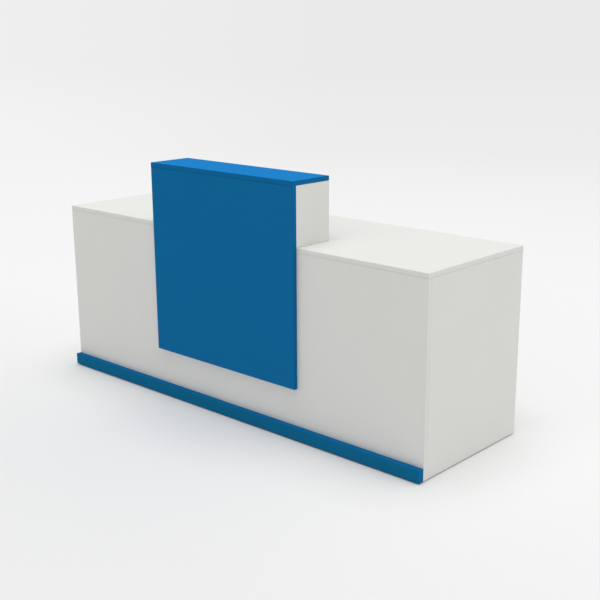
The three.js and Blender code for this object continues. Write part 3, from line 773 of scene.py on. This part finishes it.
class DESK_OT_foot_brackets(Operator):
    """Model the bent steel brackets that carry the stems"""

    bl_idname = "desk.foot_brackets"
    bl_label = "Foot brackets"

    def execute(self, context):
        sizes = context.scene.desk_feet
        back, half = -sizes.bracket_back, sizes.bracket_width / 2
        bottom, top = sizes.bracket_bottom, sizes.bracket_top
        start_modelling()
        bpy.ops.mesh.primitive_plane_add(size=1, location=((back + half) / 2, 0, bottom))
        bracket = context.object
        bracket.scale = (half - back, 2 * half, 1)
        bpy.ops.object.transform_apply()
        bpy.ops.object.mode_set(mode="EDIT")
        pick(bracket, "VERT", lambda at: at.x > half - NEAR)
        bpy.ops.mesh.bevel(offset=half - NEAR, segments=2 * CORNER_STEPS, affect="VERTICES")
        pick(bracket, "EDGE", lambda at: at.x < back + NEAR)
        bpy.ops.mesh.extrude_region_move(TRANSFORM_OT_translate={"value": (0, 0, top - bottom)})
        pick(bracket, "VERT", lambda at: at.z > top - NEAR)
        bpy.ops.mesh.bevel(offset=sizes.bracket_corner, segments=CORNER_STEPS, affect="VERTICES")
        pick(bracket, "EDGE", lambda at: at.x < back + NEAR and at.z < bottom + NEAR)
        bpy.ops.mesh.bevel(offset=sizes.bracket_bend, segments=CORNER_STEPS, affect="EDGES")
        close_mesh()
        ledge = max(bracket.data.polygons, key=lambda face: abs(face.normal.z) * face.area)
        if ledge.normal.z > 0:
            open_mesh(bracket)
            bpy.ops.mesh.flip_normals()
            bpy.ops.object.mode_set(mode="OBJECT")
        use_modifier(bracket, "SOLIDIFY", thickness=sizes.bracket_sheet, offset=-1, use_even_offset=True)
        round_arrises(bracket, sizes.bracket_arris)
        ledge_top = bottom + sizes.bracket_sheet
        bush_top = ledge_top + sizes.bush_height
        rim = 2 * sizes.bracket_arris
        bush_foot = bottom + OVERLAP
        bush = turned([(0, bush_foot), (sizes.bush_radius, bush_foot), (sizes.bush_radius, bush_top - rim),
                       (sizes.bush_radius - rim, bush_top), (0, bush_top)], MIDDLE_ROUND)
        combine(bracket, "UNION", bush)
        bore = rod(sizes.socket_radius, (0, 0, bush_top), THROUGH * (bush_top - bottom), sides=MIDDLE_ROUND)
        hole_height = bottom + sizes.screw_rise
        holes = [rod(sizes.screw_hole, (back, sign * sizes.screw_spacing / 2, hole_height),
                     THROUGH * sizes.bracket_sheet, Vector((1, 0, 0))) for sign in (-1, 1)]
        combine(bracket, "DIFFERENCE", bore, *holes)
        set_in_place(bracket, "zinc_plated_steel",
                     [(f"foot_bracket_{foot}", foot_frame(foot)) for foot in FEET])
        return {"FINISHED"}


class DESK_OT_grommets(Operator):
    """Model the cable grommets: ring and turning cap"""

    bl_idname = "desk.grommets"
    bl_label = "Cable grommets"

    def execute(self, context):
        sizes = context.scene.desk_grommets
        top, flange = sizes.flange_top, sizes.flange_radius
        seat = flange - sizes.lip
        cap_bottom = top - sizes.cap_thickness
        seat_top = cap_bottom - sizes.clearance
        inside = sizes.neck_radius - sizes.neck_wall
        edge = sizes.flange_round
        ring = turned([
            (sizes.neck_radius, -sizes.neck_depth), (sizes.neck_radius, sizes.flange_gap),
            (flange, sizes.flange_gap), *arc((flange - edge, top - edge), edge, 0, QUARTER),
            (seat + sizes.arris, top), (seat, top - sizes.arris), (seat, seat_top), (inside, seat_top),
            (inside, -sizes.neck_depth), (sizes.neck_radius, -sizes.neck_depth)], LARGE_ROUND)
        places = {}
        for side in GROMMETS:
            low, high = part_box(f"grommet_ring_{side}")
            places[side] = Matrix.Translation((*((low + high) / 2).xy, WORKTOP_TOP))
        set_in_place(ring, "grey_plastic", [(f"grommet_ring_{side}", places[side]) for side in GROMMETS])
        rim = seat - sizes.clearance
        skirt_outside = inside - sizes.clearance
        skirt_inside = skirt_outside - sizes.cap_wall
        skirt_bottom = cap_bottom - sizes.cap_skirt
        cap = turned([
            (0, cap_bottom), (skirt_inside, cap_bottom), (skirt_inside, skirt_bottom),
            (skirt_outside, skirt_bottom), (skirt_outside, cap_bottom), (rim, cap_bottom), (rim, top),
            (0, top)], LARGE_ROUND)
        half = sizes.slot_width / 2
        slot_end = sizes.slot_end + half
        depth = THROUGH * sizes.cap_skirt
        outside = rim + OVERLAP
        combine(cap, "DIFFERENCE", rod(half, (0, slot_end, 0), depth, sides=MIDDLE_ROUND),
                block((2 * half, outside - slot_end, depth), (0, (outside + slot_end) / 2, 0)))
        melt_flat_faces(cap)
        round_arrises(cap, sizes.arris)
        set_in_place(cap, "grey_plastic", [(f"grommet_cap_{side}", places[side]) for side in GROMMETS])
        return {"FINISHED"}


class DESK_OT_screws(Operator):
    """Model the wood screws of the brackets, the plinth and the counter's front panel"""

    bl_idname = "desk.screws"
    bl_label = "Wood screws"

    def execute(self, context):
        sizes, feet = context.scene.desk_screws, context.scene.desk_feet
        radius, height, side = sizes.head_radius, sizes.head_height, sizes.head_side
        crown = height - side
        screw = turned([
            (0, -sizes.shank_length), (sizes.shank_radius, sizes.tip_length - sizes.shank_length),
            (sizes.shank_radius, 0), (radius, 0), *arc((radius - crown, side), crown, 0, QUARTER),
            (0, height)], SMALL_ROUND)
        recess = 2 * sizes.recess_depth
        combine(screw, "DIFFERENCE",
                block((sizes.recess_length, sizes.recess_width, recess), (0, 0, height)),
                block((sizes.recess_width, sizes.recess_length, recess), (0, 0, height)))
        dress(screw, "zinc_plated_steel")

        outward = Matrix.Rotation(QUARTER, 4, "Y")
        plate = feet.bracket_sheet - feet.bracket_back
        on_brackets = [foot_frame(foot) @ Matrix.Translation((plate, sign * feet.screw_spacing / 2,
                                                             feet.bracket_bottom + feet.screw_rise)) @ outward
                       for foot in FEET for sign in (-1, 1)]
        backward = Matrix.Rotation(-QUARTER, 4, "X")
        plinth_low, plinth_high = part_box("plinth_board")
        plinth_middle = (plinth_low.z + plinth_high.z) / 2
        plinth_end = (PLINTH_SCREWS - 1) * sizes.plinth_spacing / 2
        behind_plinth = [Matrix.Translation((step * sizes.plinth_spacing - plinth_end, FRONT_REAR_Y,
                                             plinth_middle)) @ backward for step in range(PLINTH_SCREWS)]
        panel_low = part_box("counter_front_panel")[0]
        support_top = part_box("left_support_panel")[1].z
        across = -panel_low.x - sizes.panel_inset
        lower, upper = panel_low.z + sizes.panel_inset, support_top - sizes.panel_inset
        behind_panel = [Matrix.Translation((x, FRONT_REAR_Y, z)) @ backward
                        for x in (-across, 0, across) for z in (lower, (lower + upper) / 2, upper)]
        for name, places in (("bracket_screws", on_brackets), ("plinth_screws", behind_plinth),
                             ("counter_panel_screws", behind_panel)):
            copies = [copy_to(screw, name, place) for place in places]
            start_modelling()
            for piece in copies:
                piece.select_set(True)
            context.view_layer.objects.active = copies[0]
            bpy.ops.object.join()
            group = context.object
            group.name = group.data.name = name
            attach(group, "carcass")
        bpy.data.objects.remove(screw)
        return {"FINISHED"}


def matt_floor(name, settings):
    """Rolled matt paint on a smooth floor, with painted shade before the desk and painted light beside and
    behind it. It takes soft shadows, and runs out into the pale backdrop.
    """
    material, tree, place = start_material(name)
    # roller marks some 4 mm wide, drawn at 30 mm and very faint
    roller = add_node(tree, "ShaderNodeTexNoise", {"Vector": place, "Scale": per_metre(30), "Detail": 2})
    level = add_node(tree, "ShaderNodeMapRange",
                     {"Value": roller.outputs[0], "To Min": 0.995, "To Max": 1.005})
    # painted light and shade: darker paint before the desk, lighter paint beside and behind it
    depth = add_node(tree, "ShaderNodeSeparateXYZ", {0: place}).outputs[1]
    behind = add_node(tree, "ShaderNodeMapRange", {
        "Value": depth, "From Min": settings.painted_shade_end, "From Max": settings.painted_light_start})
    paint = add_node(tree, "ShaderNodeMix", {
        0: behind.outputs[0], 6: opaque(settings.floor_front_painted_shade), 7: opaque(settings.floor_rear_painted_light)},
        data_type="RGBA")
    painted = add_node(tree, "ShaderNodeVectorMath", {0: paint.outputs[2], "Scale": level.outputs[0]},
                       operation="SCALE")
    shader = add_node(tree, "ShaderNodeBsdfPrincipled", {
        "Base Color": painted.outputs[0], "Roughness": 0.9, "Specular IOR Level": 0})
    far = add_node(tree, "ShaderNodeVectorMath", {0: place}, operation="LENGTH")
    fade = add_node(tree, "ShaderNodeMapRange", {
        "Value": far.outputs["Value"], "From Min": settings.fade_start, "From Max": settings.fade_end})
    # painted shade: the backdrop dims a little towards its farthest reach
    backdrop_far_dimming = add_node(tree, "ShaderNodeMapRange", {
        "Value": far.outputs["Value"], "From Min": settings.fade_end, "From Max": settings.backdrop_far_dimming_end,
        "To Min": 1, "To Max": settings.backdrop_far_dimming})
    seen = add_node(tree, "ShaderNodeMath", {0: fade.outputs[0], 1: seen_directly(tree)},
                    operation="MULTIPLY")
    glow = add_node(tree, "ShaderNodeEmission", {
        "Color": backdrop_tone(tree, place, settings), "Strength": backdrop_far_dimming.outputs[0]})
    mix = add_node(tree, "ShaderNodeMixShader",
                   {0: seen.outputs[0], 1: shader.outputs[0], 2: glow.outputs[0]})
    add_node(tree, "ShaderNodeOutputMaterial", {"Surface": mix.outputs[0]})
    return material


def backdrop_tone(tree, place, settings):
    """The backdrop's colour in the direction of a place, with painted light making one side of the studio
    paler.
    """
    way = add_node(tree, "ShaderNodeVectorMath", {0: place}, operation="NORMALIZE")
    lean = add_node(tree, "ShaderNodeVectorMath", {0: way.outputs[0], 1: PALE_SIDE}, operation="DOT_PRODUCT")
    share = add_node(tree, "ShaderNodeMapRange", {
        "Value": lean.outputs["Value"], "From Min": DULL_UP_TO, "From Max": PALE_FROM})
    return add_node(tree, "ShaderNodeMix", {
        0: share.outputs[0], 6: opaque(settings.backdrop_dull), 7: opaque(settings.backdrop_pale)},
        data_type="RGBA").outputs[2]


def seen_directly(tree):
    """One for what the camera sees, straight, in a reflection or through glass, and zero for light."""
    path = add_node(tree, "ShaderNodeLightPath").outputs
    mirrored = add_node(tree, "ShaderNodeMath", {0: path["Is Camera Ray"], 1: path["Is Glossy Ray"]},
                        operation="MAXIMUM")
    return add_node(tree, "ShaderNodeMath", {0: mirrored.outputs[0], 1: path["Is Transmission Ray"]},
                    operation="MAXIMUM").outputs[0]


class DESK_OT_stage(Operator):
    """Set up the floor, the soft light and the camera"""

    bl_idname = "desk.stage"
    bl_label = "Stage"

    def execute(self, context):
        scene, settings = context.scene, context.scene.desk_stage
        start_modelling()
        bpy.ops.mesh.primitive_circle_add(vertices=FLOOR_ROUND, radius=settings.floor_radius,
                                          fill_type="NGON")
        floor = context.object
        floor.name = floor.data.name = "studio_floor"
        floor.data.materials.append(matt_floor("studio floor, rolled matt paint", settings))

        world = scene.world or bpy.data.worlds.new("studio")
        scene.world = world
        world.use_nodes = True
        tree = world.node_tree
        tree.nodes.clear()
        way = add_node(tree, "ShaderNodeTexCoord").outputs["Generated"]
        rear = add_node(tree, "ShaderNodeVectorMath", {0: way, 1: REAR_RIGHT}, operation="DOT_PRODUCT")
        glow = add_node(tree, "ShaderNodeMapRange", {
            "Value": rear.outputs["Value"], "To Min": settings.sky,
            "To Max": settings.sky + settings.rear_glow})
        light = add_node(tree, "ShaderNodeBackground", {"Color": (1, 1, 1, 1), "Strength": glow.outputs[0]})
        # the backdrop that the camera sees carries painted light on one side and a little painted shade all
        # over
        backdrop = add_node(tree, "ShaderNodeBackground",
                            {"Color": backdrop_tone(tree, way, settings), "Strength": settings.backdrop_far_dimming})
        mix = add_node(tree, "ShaderNodeMixShader", {
            0: seen_directly(tree), 1: light.outputs[0], 2: backdrop.outputs[0]})
        add_node(tree, "ShaderNodeOutputWorld", {"Surface": mix.outputs[0]})

        bpy.ops.object.light_add(type="SUN", location=(0, 0, settings.overhead_height))
        overhead = context.object
        overhead.name = overhead.data.name = "overhead_light"
        overhead.data.energy = settings.overhead
        overhead.data.angle = settings.overhead_width

        bpy.ops.object.camera_add(location=settings.viewpoint,
                                  rotation=(QUARTER - settings.tilt, 0, settings.turn))
        camera = context.object
        camera.name = "camera"
        camera.data.lens = settings.lens
        camera.data.shift_x = settings.shift
        camera.data.clip_end = 3 * settings.floor_radius
        scene.camera = camera
        scene.view_settings.view_transform = "Standard"
        return {"FINISHED"}


OPERATORS = (DESK_OT_boards, DESK_OT_cam_bolts, DESK_OT_cam_locks, DESK_OT_foot_pads, DESK_OT_foot_stems,
             DESK_OT_foot_brackets, DESK_OT_grommets, DESK_OT_screws, DESK_OT_stage)
SETTINGS = {"desk_colours": DeskColours, "desk_feet": FootSizes, "desk_cams": CamSizes,
            "desk_grommets": GrommetSizes, "desk_screws": ScrewSizes, "desk_stage": StageSettings}


class DESK_PT_reception(Panel):
    """Lists the steps that dress the desk"""

    bl_idname = "DESK_PT_reception"
    bl_label = "Reception desk"
    bl_space_type = "VIEW_3D"
    bl_region_type = "UI"
    bl_category = "Desk"

    def draw(self, context):
        for operator in OPERATORS:
            self.layout.operator(operator.bl_idname)


def register():
    for kind in (*SETTINGS.values(), *OPERATORS, DESK_PT_reception):
        bpy.utils.register_class(kind)
    for name, kind in SETTINGS.items():
        setattr(bpy.types.Scene, name, PointerProperty(type=kind))


def unregister():
    for name in SETTINGS:
        delattr(bpy.types.Scene, name)
    for kind in (DESK_PT_reception, *reversed(OPERATORS), *SETTINGS.values()):
        bpy.utils.unregister_class(kind)


def main():
    register()
    bpy.ops.desk.boards()
    bpy.ops.desk.cam_bolts()
    bpy.ops.desk.cam_locks()
    bpy.ops.desk.foot_pads()
    bpy.ops.desk.foot_stems()
    bpy.ops.desk.foot_brackets()
    bpy.ops.desk.grommets()
    bpy.ops.desk.screws()
    bpy.ops.desk.stage()


if __name__ == "__main__":
    main()
